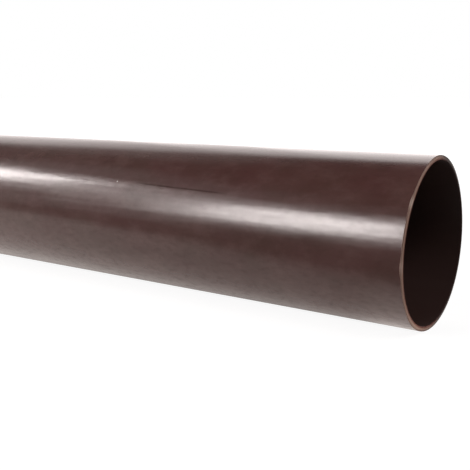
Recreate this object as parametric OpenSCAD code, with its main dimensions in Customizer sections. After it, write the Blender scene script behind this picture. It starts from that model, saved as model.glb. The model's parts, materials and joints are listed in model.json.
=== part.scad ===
// Round PVC-U rainwater downpipe: one extruded length of thin-walled tube,
// sawn square, chamfered and deburred at both ends, lying on its side along X.
// All sizes are in millimetres.

/* [Pipe] */
// Outside diameter, which sockets and pipe clips fit
outside_diameter = 68; // [50:0.5:110]
// Thickness of the extruded wall
wall_thickness = 1.9; // [1.2:0.1:3.2]
// Length that the pipe is sawn to
cut_length = 2000; // [250:50:5500]

/* [Sawn ends] */
// Length, along the pipe, of the filed chamfer round the outside of each end
chamfer_length = 0.4; // [0.2:0.1:3]
// Width of the flat rim that the chamfer leaves round each end
flat_rim = 0.3; // [0.2:0.1:0.5]
// Width of the deburred edge round the bore of each end
bore_bevel = 0.3; // [0.1:0.1:0.4]

/* [Hidden] */

outer_radius = outside_diameter / 2;
bore_radius = outer_radius - wall_thickness;
rim_radius = bore_radius + bore_bevel + flat_rim;
half_length = cut_length / 2;

pipe_brown = "#4a3330";
facets_round = 240;

// Corners of the wall at one end, from the outside in to the bore.
// The end is +1 or -1 along the pipe.
function end_corners(end) = [
    [outer_radius, end * (half_length - chamfer_length)],
    [rim_radius, end * half_length],
    [bore_radius + bore_bevel, end * half_length],
    [bore_radius, end * (half_length - bore_bevel)]
];

function reversed(list) = [for (i = [len(list) - 1:-1:0]) list[i]];

// The wall cut lengthwise: distance from the axis along X, the axis along Y
module wall_section() {
    polygon(concat(end_corners(1), reversed(end_corners(-1))));
}

// The tube, with its underside resting at the height of the origin
module downpipe() {
    color(pipe_brown)
        translate([0, 0, outer_radius])
            rotate([0, 90, 0])
                rotate_extrude($fn = facets_round)
                    wall_section();
}

downpipe();
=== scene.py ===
import json
import math

import bpy
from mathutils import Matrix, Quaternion, Vector

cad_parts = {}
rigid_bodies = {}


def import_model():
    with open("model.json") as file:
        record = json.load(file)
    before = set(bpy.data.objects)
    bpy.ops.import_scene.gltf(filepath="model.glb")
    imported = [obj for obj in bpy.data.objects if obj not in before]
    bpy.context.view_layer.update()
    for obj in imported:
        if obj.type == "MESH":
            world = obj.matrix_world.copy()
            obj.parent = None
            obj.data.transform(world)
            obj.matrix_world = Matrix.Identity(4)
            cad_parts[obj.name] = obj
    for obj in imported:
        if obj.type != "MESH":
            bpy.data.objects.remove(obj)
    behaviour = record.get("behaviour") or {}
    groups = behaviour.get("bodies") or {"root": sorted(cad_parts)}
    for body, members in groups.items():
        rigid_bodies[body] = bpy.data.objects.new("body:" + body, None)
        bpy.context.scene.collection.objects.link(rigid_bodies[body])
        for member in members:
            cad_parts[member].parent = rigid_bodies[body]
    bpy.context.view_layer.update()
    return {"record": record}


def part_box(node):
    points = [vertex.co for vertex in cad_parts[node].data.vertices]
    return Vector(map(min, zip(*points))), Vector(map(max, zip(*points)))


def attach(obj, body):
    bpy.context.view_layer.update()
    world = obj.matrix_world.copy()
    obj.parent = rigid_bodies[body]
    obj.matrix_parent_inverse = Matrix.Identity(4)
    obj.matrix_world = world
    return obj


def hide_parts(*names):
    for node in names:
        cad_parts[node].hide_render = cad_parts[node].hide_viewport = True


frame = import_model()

# A round brown PVC downpipe lying on a white floor, seen close up at its sawn end.
# Lengths are metres. The pipe lies along X, and its near end is at the highest X.
# Angles round the pipe are 0 at its front, where -Y is, and grow towards its top.

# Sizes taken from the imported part
MM_IN_METRE = 1000
low_corner, high_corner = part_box("downpipe")
mounts = {mount["name"]: mount for mount in frame["record"]["mounts"]}
OUTER_RADIUS = mounts["outer_wall"]["dims"]["r_mm"] / MM_IN_METRE
BORE_RADIUS = mounts["bore"]["dims"]["r_mm"] / MM_IN_METRE
WALL = OUTER_RADIUS - BORE_RADIUS
NEAR_END = high_corner.x
FAR_END = low_corner.x
LENGTH = NEAR_END - FAR_END
AXIS_HEIGHT = OUTER_RADIUS

# The sawn ends: a shallow filed chamfer outside, with its edge rounded, and a deburred bore
CHAMFER_DEPTH = 0.0013
CHAMFER_LENGTH = 0.00034
OUTER_BEVEL = 0.00006
BORE_BEVEL = 0.0003
BEVEL_STEPS = 3
ROUND_PROFILE = 0.5
# The sides of the round tube, and the angle from which an edge is shaded sharp
SIDES = 512
SHARP_ANGLE = math.radians(35)
# Where the second and third finish are in the pipe's list
SAWN_INDEX = 1
BORE_INDEX = 2
# Points this close to a radius count as being at it
RADIUS_SLACK = WALL / 100

# The near end was sawn a little out of true, so two places on it lie back from the rest
HOLLOW_ANGLES = (math.radians(135), math.radians(-45))
HOLLOW_DEPTH = 0.00067
HOLLOW_SPREAD = 0.052
# Raggedness of the near end's outer edge
RAGGED_SHARE = 0.35
RAGGED_REACH = 0.00005
RAGGED_SEED = 4
# Knocked places on the near end's outer edge: the angle, how far back each reaches, half its
# length, and its paleness, of scuffed PVC with a painted glint
KNOCKS = ((math.radians(-4.75), 0.0003, 0.0052, 0.42), (math.radians(35), 0.00022, 0.0045, 1.0))
# Places where the near end was filed less: the angle, how far forward each reaches, and half its length
UNFILED = ((math.radians(62), 0.00030, 0.020), (math.radians(-34), 0.00022, 0.014))

# Camera, placed from the middle of the near end
CAMERA_FROM_END = Vector((0.0911, -0.2696, 0.0555))
CAMERA_TURN = math.radians(34.43)
CAMERA_DIP = math.radians(10.744)
LENS_MM = 55.75

# Colours, as linear light
BROWN = (0.0548, 0.0246, 0.0219, 1)
RED_BROWN = (0.0660, 0.0276, 0.0257, 1)
OLIVE_BROWN = (0.0522, 0.0266, 0.0209, 1)
DULL_BROWN = (0.090, 0.0490, 0.0442, 1)
# Dark brown of the grime in the wall's scratch and film, also used as painted shade on the rim's back
GRIME_AND_SHADE_BROWN = (0.034, 0.018, 0.016, 1)
PALE_DUST = (0.60, 0.55, 0.52, 1)
SAWN_TAN = (0.50, 0.345, 0.27, 1)
SAWN_RED_BROWN = (0.18, 0.055, 0.034, 1)
# Scuffed PVC at the knocks, made paler still to paint the glint of their facets
SCUFF_AND_GLINT_TAN = (0.82, 0.68, 0.58, 1)
BORE_BROWN = (0.043, 0.0230, 0.0200, 1)
SHEET_GREY = (0.18, 0.18, 0.18, 1)
WHITE = (1, 1, 1, 1)
BLACK = (0, 0, 0, 1)

# How strongly PVC bends light
PVC_IOR = 1.54

# Cells of each noise of the wall to a metre, along X, Y and Z
DIE_LINE_CELLS = (1.5, 700, 700)
RIPPLE_CELLS = (18, 90, 90)
MOTTLE_CELLS = (50, 70, 70)
PATCH_CELLS = (25, 60, 60)
GRAIN_CELLS = (500, 500, 500)
PEEL_CELLS = (110, 260, 260)
RUB_CELLS = (22, 620, 620)
BLOT_CELLS = (85, 120, 120)
FILM_CELLS = (300, 480, 480)
BREAK_CELLS = (230, 60, 60)
SCUFF_CELLS = (260, 900, 900)
# The mean of a noise
NOISE_MIDDLE = 0.5
# The values of a noise between which its mark goes from none to full
MOTTLE_SPAN = (0.3, 0.7)
BLOT_SPAN = (0.40, 0.75)
PATCH_SPAN = (0.40, 0.70)
FILM_SPAN = (0.42, 0.75)
BREAK_SPAN = (0.32, 0.46)
# How much of each mark shows at most
MOTTLE_SHARE = 0.5
BLOT_SHARE = 0.55
PATCH_SHARE = 0.25
FLECK_SHARE = 0.85
SCRATCH_SHARE = 0.75
FILM_SHARE = 0.21
# Roughness of the wall, what each noise adds to it, and what the scuffs polish away
WALL_ROUGHNESS = 0.17
DIE_LINE_ROUGHNESS = 0.04
PATCH_ROUGHNESS = 0.06
RUB_ROUGHNESS = 0.18
SCUFF_POLISH = 0.06
# Relief of the wall
DIE_LINE_DEPTH = 0.00001
GRAIN_DEPTH = 0.000004
RIPPLE_DEPTH = 0.00012
SCUFF_DEPTH = 0.00007
PEEL_DEPTH = 0.000034
# Heights over the pipe's axis between which relief, rubs and film grow fainter towards the top,
# and what is left of them there
SMOOTH_FROM = 0.79 * OUTER_RADIUS
SMOOTH_TO = 0.94 * OUTER_RADIUS
SMOOTH_REST = 0.2

# Streaks on the front of the pipe: where each starts and ends, its angle round the pipe where it
# starts, how that changes in a metre, half its width, and the length over which it fades at its ends
SCRATCH = (NEAR_END - 0.122, NEAR_END - 0.080, math.radians(31.6), math.radians(-43), 0.00045, 0.008)
SCUFFS = (NEAR_END - 0.195, NEAR_END - 0.095, math.radians(33.4), math.radians(-48), 0.0045, 0.06)
# A fleck of dust
FLECK_ALONG = NEAR_END - 0.1385
FLECK_ANGLE = math.radians(31.8)
FLECK_RADIUS = 0.00037
# The share of a streak's half width and of a spot's radius at which they start to fade
STREAK_CORE_SHARE = 1 / 4
SPOT_CORE_SHARE = 1 / 3

# The sawn rim: where each brown sets in, from full to none or from none to full, and its share
INNER_EDGE = (BORE_RADIUS + 0.0002, BORE_RADIUS + 0.0012)
INNER_SHARE = 0.95
OUTER_EDGE = (OUTER_RADIUS - 0.0011, OUTER_RADIUS)
OUTER_SHARE = 0.62
# Painted shade on the rim: browner towards the bottom
BOTTOM_SHADE_EDGE = (-0.97 * OUTER_RADIUS, -0.85 * OUTER_RADIUS)
BOTTOM_SHADE_SHARE = 0.36
# Painted shade on the rim: nearly black on its back, the +Y side
BACK_SHADE_EDGE = (-0.004, 0.011)
BACK_SHADE_SHARE = 0.95
SAW_MARK_CELLS = (300, 180, 2600)
SAW_MARK_SHARE = 0.2
# The share of a knock's length that is pale, with scuffing and a painted glint
KNOCK_PALE_SHARE = 0.8
SAWN_ROUGHNESS = 0.65
SAWN_SPECULAR = 0.25

# The bore
BORE_LINE_CELLS = (1.5, 500, 500)
BORE_ROUGHNESS = 0.35
BORE_LINE_ROUGHNESS = 0.1

# Where the lamps point, how far off one is unless it says otherwise, and their slightly warm light
LIT_POINT = Vector((NEAR_END - 0.1, 0, AXIS_HEIGHT))
LAMP_DISTANCE = 4.0
LAMP_COLOUR = (1.0, 0.935, 0.92)

# The dim room to the left and to the right, and the directions along X between which it changes
DIM_LEFT = (0.25, 0.22, 0.21, 1)
DIM_RIGHT = (0.03, 0.026, 0.026, 1)
ROOM_SPAN = (-0.85, -0.5)

FLOOR_SIZE = 60
# The lit part of the floor: it ends in front of the pipe, further out the further left
FLOOR_GLOW = (0.82, 0.77, 0.73)
FRONT_SLANT = 0.30
FRONT_SPAN = (-0.07, -0.028)
# How its light changes: two places, and the light's share at each
UNDER_PIPE = (0.004, 0.018, 0.5, 1.05)
BESIDE_PIPE = (0.018, 0.045, 1.0, 0.9)
ALONG_PIPE = (NEAR_END - 0.28, NEAR_END - 0.05, 1.15, 0.85)
PAST_END = (NEAR_END, NEAR_END + 0.02, 1.0, 0.22)
END_BOOST = (0.010, 0.019, 1.95, 1.45)
# The places between which that boost sets in
END_SPAN = (NEAR_END - 0.032, NEAR_END - 0.008)
# How white the camera sees the floor, from next to the pipe to far off
SHOWN_WHITE = (0.1, 0.8, 0.90, 1.0)


class Wire:
    """One value in a node tree. Sums and products of it add Math nodes."""

    def __init__(self, board, socket):
        self.board = board
        self.socket = socket

    def __add__(self, other):
        return self.board.math("ADD", self, other)

    def __radd__(self, other):
        return self.board.math("ADD", other, self)

    def __sub__(self, other):
        return self.board.math("SUBTRACT", self, other)

    def __mul__(self, other):
        return self.board.math("MULTIPLY", self, other)

    def __rmul__(self, other):
        return self.board.math("MULTIPLY", other, self)


class Board:
    """The node tree of one material or of the world, which starts empty."""

    def __init__(self, owner):
        owner.use_nodes = True
        self.tree = owner.node_tree
        self.tree.nodes.clear()

    def node(self, kind, settings=None, inputs=None):
        """Adds a node, sets it up, and then gives its sockets their values or links."""
        made = self.tree.nodes.new(kind)
        for name, value in (settings or {}).items():
            setattr(made, name, value)
        for key, value in (inputs or {}).items():
            if isinstance(value, Wire):
                self.tree.links.new(value.socket, made.inputs[key])
            else:
                made.inputs[key].default_value = value
        return made

    def wire(self, kind, settings=None, inputs=None, output=0):
        """Adds a node and gives one of its outputs."""
        return Wire(self, self.node(kind, settings, inputs).outputs[output])

    def math(self, operation, *values):
        """Adds a Math node for those values."""
        return self.wire("ShaderNodeMath", {"operation": operation}, dict(enumerate(values)))

    def ramp(self, value, start, end, low=0.0, high=1.0):
        """Goes smoothly from low to high as the value goes from start to end."""
        return self.wire(
            "ShaderNodeMapRange",
            {"interpolation_type": "SMOOTHSTEP"},
            {"Value": value, "From Min": start, "From Max": end, "To Min": low, "To Max": high},
        )

    def mix_colour(self, share, first, second):
        """Goes from the first colour to the second as the share goes from 0 to 1.
        In a Mix node, inputs 6 and 7 and output 2 are the colours."""
        return self.wire(
            "ShaderNodeMix", {"data_type": "RGBA"}, {0: share, 6: first, 7: second}, output=2
        )

    def parts(self, vector):
        """The three parts of a vector."""
        split = self.node("ShaderNodeSeparateXYZ", None, {0: vector})
        return [Wire(self, output) for output in split.outputs]

    def noise(self, place, cells, detail=2.0, roughness=0.5):
        """Noise in 3-D, with its own number of cells to a metre along each axis."""
        stretched = self.wire("ShaderNodeMapping", None, {"Vector": place, "Scale": cells})
        return self.wire(
            "ShaderNodeTexNoise",
            None,
            {"Vector": stretched, "Scale": 1.0, "Detail": detail, "Roughness": roughness},
        )


def new_finish(name):
    """A new material, its empty board and the place on the piece that it colours."""
    finish = bpy.data.materials.new(name)
    board = Board(finish)
    place = board.wire("ShaderNodeTexCoord", output="Object")
    return finish, board, place


def close_finish(board, shader):
    """Makes that shader the material's surface."""
    board.node("ShaderNodeOutputMaterial", None, {"Surface": shader})


def round_axis(board, across, height):
    """The height over the pipe's axis, and the angle round the pipe."""
    level = height - AXIS_HEIGHT
    return level, board.math("ARCTAN2", level, -1 * across)


def on_wall(along, angle):
    """The point of the outside wall at that place along the pipe and that angle round it."""
    return Vector((along, -OUTER_RADIUS * math.cos(angle), AXIS_HEIGHT + OUTER_RADIUS * math.sin(angle)))


def streak_mask(board, along, angle, streak):
    """1 along a streak, which leans a little round the pipe and fades out at its edges and ends."""
    start, end, first_angle, lean, width, fade = streak
    line = first_angle + lean * (along - start)
    off = board.math("ABSOLUTE", (angle - line) * OUTER_RADIUS)
    return (
        board.ramp(off, STREAK_CORE_SHARE * width, width, 1.0, 0.0)
        * board.ramp(along, start - fade / 2, start + fade / 2)
        * board.ramp(along, end - fade / 2, end + fade / 2, 1.0, 0.0)
    )


def spot_mask(board, place, middle, radius):
    """1 at the middle of a round spot, fading out to 0 at that radius."""
    away = board.wire("ShaderNodeVectorMath", {"operation": "DISTANCE"}, {0: place, 1: middle}, "Value")
    return board.ramp(away, SPOT_CORE_SHARE * radius, radius, 1.0, 0.0)


def wall_finish():
    """Semi-gloss extruded PVC: die lines along it, a faintly mottled skin and marks of handling."""
    finish, board, place = new_finish("wall_finish")
    along, across, height = board.parts(place)
    level, angle = round_axis(board, across, height)
    die_lines = board.noise(place, DIE_LINE_CELLS)
    ripple = board.noise(place, RIPPLE_CELLS, detail=3.0)
    mottle = board.noise(place, MOTTLE_CELLS, detail=3.0)
    patches = board.noise(place, PATCH_CELLS)
    grain = board.noise(place, GRAIN_CELLS)
    peel = board.noise(place, PEEL_CELLS, detail=3.0)
    rubs = board.noise(place, RUB_CELLS, detail=3.0)
    blots = board.noise(place, BLOT_CELLS, detail=4.0, roughness=0.6)
    film = board.ramp(board.noise(place, FILM_CELLS, detail=3.0, roughness=0.6), *FILM_SPAN)
    breaks = board.ramp(board.noise(place, BREAK_CELLS), *BREAK_SPAN)
    scratch = streak_mask(board, along, angle, SCRATCH) * breaks
    scuffs = streak_mask(board, along, angle, SCUFFS) * board.noise(place, SCUFF_CELLS, detail=3.0)
    fleck = spot_mask(board, place, on_wall(FLECK_ALONG, FLECK_ANGLE), FLECK_RADIUS)
    skin = board.mix_colour(board.ramp(mottle, *MOTTLE_SPAN), OLIVE_BROWN, RED_BROWN)
    skin = board.mix_colour(MOTTLE_SHARE, BROWN, skin)
    skin = board.mix_colour(board.ramp(blots, *BLOT_SPAN, 0.0, BLOT_SHARE), skin, DULL_BROWN)
    skin = board.mix_colour(board.ramp(patches, *PATCH_SPAN, 0.0, PATCH_SHARE), skin, DULL_BROWN)
    skin = board.mix_colour(FLECK_SHARE * fleck, skin, PALE_DUST)
    lower = board.ramp(level, SMOOTH_FROM, SMOOTH_TO, 1.0, SMOOTH_REST)
    relief = (
        DIE_LINE_DEPTH * die_lines
        + GRAIN_DEPTH * grain
        + RIPPLE_DEPTH * ripple
        + PEEL_DEPTH * peel
        + SCUFF_DEPTH * scuffs
    ) * lower
    bump = board.wire("ShaderNodeBump", None, {"Strength": 1.0, "Distance": 1.0, "Height": relief})
    roughness = (
        WALL_ROUGHNESS
        + DIE_LINE_ROUGHNESS * die_lines
        + PATCH_ROUGHNESS * patches
        + RUB_ROUGHNESS * (rubs - NOISE_MIDDLE) * lower
        - SCUFF_POLISH * scuffs
    )
    clean = board.wire(
        "ShaderNodeBsdfPrincipled",
        None,
        {"Base Color": skin, "Roughness": roughness, "IOR": PVC_IOR, "Normal": bump},
    )
    grime = board.wire("ShaderNodeBsdfDiffuse", None, {"Color": GRIME_AND_SHADE_BROWN})
    grimy = SCRATCH_SHARE * scratch + FILM_SHARE * film * lower
    close_finish(board, board.wire("ShaderNodeMixShader", None, {0: grimy, 1: clean, 2: grime}))
    return finish


def sawn_finish():
    """The sawn rim: pale and rough, browner at both its edges, with fine saw marks, painted shade below
    and behind, and at the near end pale knocks, scuffed and with a painted glint."""
    finish, board, place = new_finish("sawn_finish")
    along, across, height = board.parts(place)
    level, angle = round_axis(board, across, height)
    from_middle = board.math("SQRT", across * across + level * level)
    near_end = board.math("GREATER_THAN", along, 0.0)
    saw_marks = board.noise(place, SAW_MARK_CELLS)
    inner = board.ramp(from_middle, *INNER_EDGE, INNER_SHARE, 0.0)
    outer = board.ramp(from_middle, *OUTER_EDGE, 0.0, OUTER_SHARE)
    # Painted shade: browner below and nearly black behind
    bottom_shade = board.ramp(level, *BOTTOM_SHADE_EDGE, BOTTOM_SHADE_SHARE, 0.0)
    back = board.ramp(across, *BACK_SHADE_EDGE, 0.0, BACK_SHADE_SHARE)
    colour = SAWN_TAN
    # Pale knocks: scuffed PVC, with a painted glint
    for knock, _, spread, paleness in KNOCKS:
        away = board.math("ABSOLUTE", (angle - knock) * OUTER_RADIUS)
        pale = near_end * board.ramp(away, 0.0, KNOCK_PALE_SHARE * spread, paleness, 0.0)
        colour = board.mix_colour(pale, colour, SCUFF_AND_GLINT_TAN)
    colour = board.mix_colour(inner + SAW_MARK_SHARE * saw_marks, colour, SAWN_RED_BROWN)
    # The outer edge's own brown, with painted shade added below
    colour = board.mix_colour(outer + bottom_shade, colour, RED_BROWN)
    # Painted shade on the back of the rim
    colour = board.mix_colour(back, colour, GRIME_AND_SHADE_BROWN)
    shader = board.wire(
        "ShaderNodeBsdfPrincipled",
        None,
        {"Base Color": colour, "Roughness": SAWN_ROUGHNESS, "Specular IOR Level": SAWN_SPECULAR},
    )
    close_finish(board, shader)
    return finish


def bore_finish():
    """The inside of the tube, duller than the outside."""
    finish, board, place = new_finish("bore_finish")
    die_lines = board.noise(place, BORE_LINE_CELLS)
    roughness = BORE_ROUGHNESS + BORE_LINE_ROUGHNESS * die_lines
    shader = board.wire(
        "ShaderNodeBsdfPrincipled",
        None,
        {"Base Color": BORE_BROWN, "Roughness": roughness, "IOR": PVC_IOR},
    )
    close_finish(board, shader)
    return finish


def select(piece, kind, wanted):
    """In edit mode, selects the faces, edges or corners of which every point is wanted."""
    bpy.ops.mesh.select_mode(type=kind)
    bpy.ops.mesh.select_all(action="DESELECT")
    bpy.ops.object.mode_set(mode="OBJECT")
    mesh = piece.data
    points = [corner.co for corner in mesh.vertices]
    if kind == "VERT":
        for corner in mesh.vertices:
            corner.select = wanted(corner.co)
    else:
        for item in mesh.polygons if kind == "FACE" else mesh.edges:
            item.select = all(wanted(points[i]) for i in item.vertices)
    bpy.ops.object.mode_set(mode="EDIT")


def at_radius(point, radius):
    """True for a point that far from the pipe's axis."""
    return abs(math.hypot(point.y, point.z - AXIS_HEIGHT) - radius) < RADIUS_SLACK


def is_at_angle(point, angle):
    """True for a point within half a side of that angle round the pipe."""
    own = math.atan2(point.z - AXIS_HEIGHT, -point.y)
    apart = (own - angle + math.pi) % (2 * math.pi) - math.pi
    return abs(apart) <= math.pi / SIDES


def is_wall_edge(point):
    """True for a point at the near end where the outside wall meets the chamfer."""
    return at_radius(point, OUTER_RADIUS) and point.x > NEAR_END - WALL


def pull_back(depth, spread):
    """Moves the selected corners back along the pipe, and those around them less and less."""
    bpy.ops.transform.translate(
        value=(-depth, 0, 0),
        use_proportional_edit=True,
        proportional_edit_falloff="SMOOTH",
        proportional_size=spread,
    )


def pull_back_edge(pipe, angle, depth, spread):
    """Pulls back the near end's outer edge at that angle, or pushes it forward where depth is below 0."""
    select(pipe, "VERT", lambda point: is_wall_edge(point) and is_at_angle(point, angle))
    pull_back(depth, spread)


def wear_near_end(pipe):
    """In edit mode, makes the near end a little uneven, and its outer edge ragged and knocked."""
    for angle in HOLLOW_ANGLES:
        select(pipe, "VERT", lambda point: point.x > NEAR_END - WALL and is_at_angle(point, angle))
        pull_back(HOLLOW_DEPTH, HOLLOW_SPREAD)
    select(pipe, "VERT", is_wall_edge)
    bpy.ops.mesh.hide(unselected=True)
    bpy.ops.mesh.select_random(ratio=RAGGED_SHARE, seed=RAGGED_SEED)
    pull_back(RAGGED_REACH, RAGGED_REACH)
    for angle, reach, spread in UNFILED:
        pull_back_edge(pipe, angle, -reach, spread)
    for angle, reach, spread, _ in KNOCKS:
        pull_back_edge(pipe, angle, reach, spread)
    bpy.ops.mesh.reveal(select=False)


def add_pipe():
    """A capped cylinder, inset at its ends to the wall, opened through, chamfered, deburred and worn."""
    bpy.ops.object.select_all(action="DESELECT")
    bpy.ops.mesh.primitive_cylinder_add(
        vertices=SIDES,
        radius=OUTER_RADIUS,
        depth=LENGTH,
        location=((NEAR_END + FAR_END) / 2, 0, AXIS_HEIGHT),
        rotation=(0, math.pi / 2, 0),
    )
    pipe = bpy.context.active_object
    pipe.name = "downpipe_tube"
    bpy.ops.object.transform_apply(location=True, rotation=True, scale=True)
    for finish in (wall_finish(), sawn_finish(), bore_finish()):
        pipe.data.materials.append(finish)
    bpy.ops.object.mode_set(mode="EDIT")
    bpy.ops.mesh.select_mode(type="FACE")
    bpy.ops.mesh.select_all(action="DESELECT")
    bpy.ops.mesh.select_face_by_sides(number=4, type="GREATER")
    bpy.ops.mesh.inset(thickness=CHAMFER_DEPTH)
    bpy.ops.mesh.inset(thickness=WALL - CHAMFER_DEPTH)
    bpy.ops.mesh.bridge_edge_loops()
    for end in (1, -1):
        select(pipe, "EDGE", lambda point: end * point.x > 0 and at_radius(point, OUTER_RADIUS))
        bpy.ops.transform.translate(value=(-end * CHAMFER_LENGTH, 0, 0))
        for radius, width in ((OUTER_RADIUS, OUTER_BEVEL), (BORE_RADIUS, BORE_BEVEL)):
            select(pipe, "EDGE", lambda point: end * point.x > 0 and at_radius(point, radius))
            bpy.ops.mesh.bevel(offset=width, segments=BEVEL_STEPS, profile=ROUND_PROFILE)
        select(pipe, "FACE", lambda point: end * point.x > NEAR_END - CHAMFER_LENGTH - 2 * OUTER_BEVEL)
        pipe.active_material_index = SAWN_INDEX
        bpy.ops.object.material_slot_assign()
    select(pipe, "FACE", lambda point: at_radius(point, BORE_RADIUS))
    pipe.active_material_index = BORE_INDEX
    bpy.ops.object.material_slot_assign()
    bpy.ops.mesh.select_all(action="SELECT")
    bpy.ops.mesh.normals_make_consistent(inside=False)
    wear_near_end(pipe)
    bpy.ops.object.mode_set(mode="OBJECT")
    bpy.ops.object.shade_smooth_by_angle(angle=SHARP_ANGLE)
    bpy.ops.object.modifier_add(type="WEIGHTED_NORMAL")
    pipe.modifiers[-1].keep_sharp = True
    bpy.ops.object.modifier_apply(modifier=pipe.modifiers[-1].name)
    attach(pipe, "root")
    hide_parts("downpipe")


def add_camera():
    """The camera, in front of the near end and a little above it."""
    data = bpy.data.cameras.new("camera")
    data.lens = LENS_MM
    camera = bpy.data.objects.new("camera", data)
    camera.location = Vector((NEAR_END, 0, AXIS_HEIGHT)) + CAMERA_FROM_END
    camera.rotation_euler = (math.pi / 2 - CAMERA_DIP, 0, CAMERA_TURN)
    bpy.context.scene.collection.objects.link(camera)
    bpy.context.scene.camera = camera


def width_at(angle, distance):
    """The width, at a distance, of what looks that many degrees wide."""
    return 2 * distance * math.tan(math.radians(angle) / 2)


def add_softbox(
    name, azimuth, elevation, wide, high, radiance, distance=LAMP_DISTANCE, roll=0.0, upright=False
):
    """A rectangular lamp, placed and sized in degrees as the lit part of the pipe sees it.
    Azimuth 0 is straight in front of the pipe, and grows towards the near end.
    An upright lamp doesn't lean to face the pipe. A roll lifts the lamp's left edge, as the pipe sees it."""
    turn, rise = math.radians(azimuth), math.radians(elevation)
    level = Vector((math.sin(turn), -math.cos(turn), 0))
    towards = level * math.cos(rise) + Vector((0, 0, math.sin(rise)))
    data = bpy.data.lights.new(name, "AREA")
    data.shape = "RECTANGLE"
    data.color = LAMP_COLOUR
    data.size = width_at(wide, distance)
    data.size_y = width_at(high, distance)
    data.energy = radiance * math.pi * data.size * data.size_y
    lamp = bpy.data.objects.new(name, data)
    lamp.location = LIT_POINT + distance * towards
    facing = (level if upright else towards).to_track_quat("Z", "Y")
    lamp.rotation_euler = (facing @ Quaternion((0, 0, 1), math.radians(roll))).to_euler()
    lamp.visible_camera = False
    bpy.context.scene.collection.objects.link(lamp)


def light_studio():
    """Softboxes in front and at the side, the light that they spill, panels behind, and one at the end."""
    add_softbox(
        "front_softbox", azimuth=-28.6, elevation=19.85, wide=17.55, high=17.4, radiance=18.8, roll=1.2
    )
    add_softbox("front_edge", azimuth=-26.7, elevation=8.4, wide=15, high=6.4, radiance=4.3, distance=4.8)
    add_softbox(
        "front_low", azimuth=-29.8, elevation=5.4, wide=25.4, high=8.2, radiance=0.48, distance=5.5
    )
    add_softbox(
        "side_softbox", azimuth=-69.55, elevation=26.45, wide=21.45, high=7.9, radiance=14.1, roll=1.5
    )
    add_softbox(
        "side_edge", azimuth=-69.4, elevation=29.75, wide=21.9, high=2.5, radiance=12.6, distance=4.4, roll=9
    )
    add_softbox(
        "spill_inner", azimuth=-49.6, elevation=26.15, wide=26.5, high=19.9, radiance=1.54, distance=5.0
    )
    add_softbox("spill_outer", azimuth=-54.4, elevation=16, wide=33, high=35.6, radiance=0.37, distance=6.0)
    add_softbox("spill_top", azimuth=-64, elevation=40, wide=27, high=17, radiance=0.27, distance=6.5)
    add_softbox(
        "back_panel", azimuth=-164, elevation=25.2, wide=96, high=51.6, radiance=1.22, roll=-4, upright=True
    )
    add_softbox(
        "back_middle", azimuth=-170, elevation=24, wide=62, high=52, radiance=0.48, distance=5.0, upright=True
    )
    add_softbox(
        "back_right", azimuth=-170, elevation=24, wide=42, high=52, radiance=0.55, distance=7.0, upright=True
    )
    add_softbox("back_spill", azimuth=-119, elevation=46, wide=16, high=12, radiance=0.2, distance=6.0)
    add_softbox("back_low", azimuth=-128, elevation=9, wide=26, high=10, radiance=0.4, distance=6.0)
    add_softbox("end_softbox", azimuth=80, elevation=46, wide=30, high=30, radiance=4.9)


def add_room():
    """A room that is white to the camera, and dim to the pipe."""
    world = bpy.data.worlds.new("white_studio")
    bpy.context.scene.world = world
    board = Board(world)
    along, _, _ = board.parts(board.wire("ShaderNodeTexCoord", output="Generated"))
    room = board.mix_colour(board.ramp(along, *ROOM_SPAN), DIM_LEFT, DIM_RIGHT)
    camera_ray = board.wire("ShaderNodeLightPath", output="Is Camera Ray")
    colour = board.mix_colour(camera_ray, room, WHITE)
    shader = board.wire("ShaderNodeBackground", None, {"Color": colour, "Strength": 1.0})
    board.node("ShaderNodeOutputWorld", None, {"Surface": shader})


def add_floor():
    """A white light table, dark to the pipe where it is in shade in front and underneath."""
    bpy.ops.object.select_all(action="DESELECT")
    bpy.ops.mesh.primitive_plane_add(size=FLOOR_SIZE, location=(0, 0, 0))
    floor = bpy.context.active_object
    floor.name = "floor"
    finish, board, place = new_finish("white_floor")
    along, depth, _ = board.parts(place)
    aside = board.math("ABSOLUTE", depth)
    front = depth - FRONT_SLANT * (along - NEAR_END)
    beyond_end = board.math("MAXIMUM", along - NEAR_END, 0.0)
    lit = (
        board.ramp(front - beyond_end, *FRONT_SPAN)
        * board.ramp(aside, *UNDER_PIPE)
        * board.ramp(aside, *BESIDE_PIPE)
        * board.ramp(along, *ALONG_PIPE)
        * board.ramp(along, *END_SPAN, 1.0, board.ramp(aside, *END_BOOST))
        * board.ramp(along, *PAST_END)
    )
    lit_colour = board.wire("ShaderNodeVectorMath", {"operation": "SCALE"}, {0: FLOOR_GLOW, "Scale": lit})
    away = board.math("MAXIMUM", aside, board.math("ABSOLUTE", along) - NEAR_END)
    shown_colour = board.mix_colour(board.ramp(away, *SHOWN_WHITE), BLACK, WHITE)
    camera_ray = board.wire("ShaderNodeLightPath", output="Is Camera Ray")
    colour = board.mix_colour(camera_ray, lit_colour, shown_colour)
    glow = board.wire("ShaderNodeEmission", None, {"Color": colour, "Strength": 1.0})
    sheet = board.wire("ShaderNodeBsdfDiffuse", None, {"Color": SHEET_GREY})
    close_finish(board, board.wire("ShaderNodeAddShader", None, {0: glow, 1: sheet}))
    floor.data.materials.append(finish)


bpy.context.scene.view_settings.view_transform = "Standard"
add_camera()
add_pipe()
add_floor()
light_studio()
add_room()
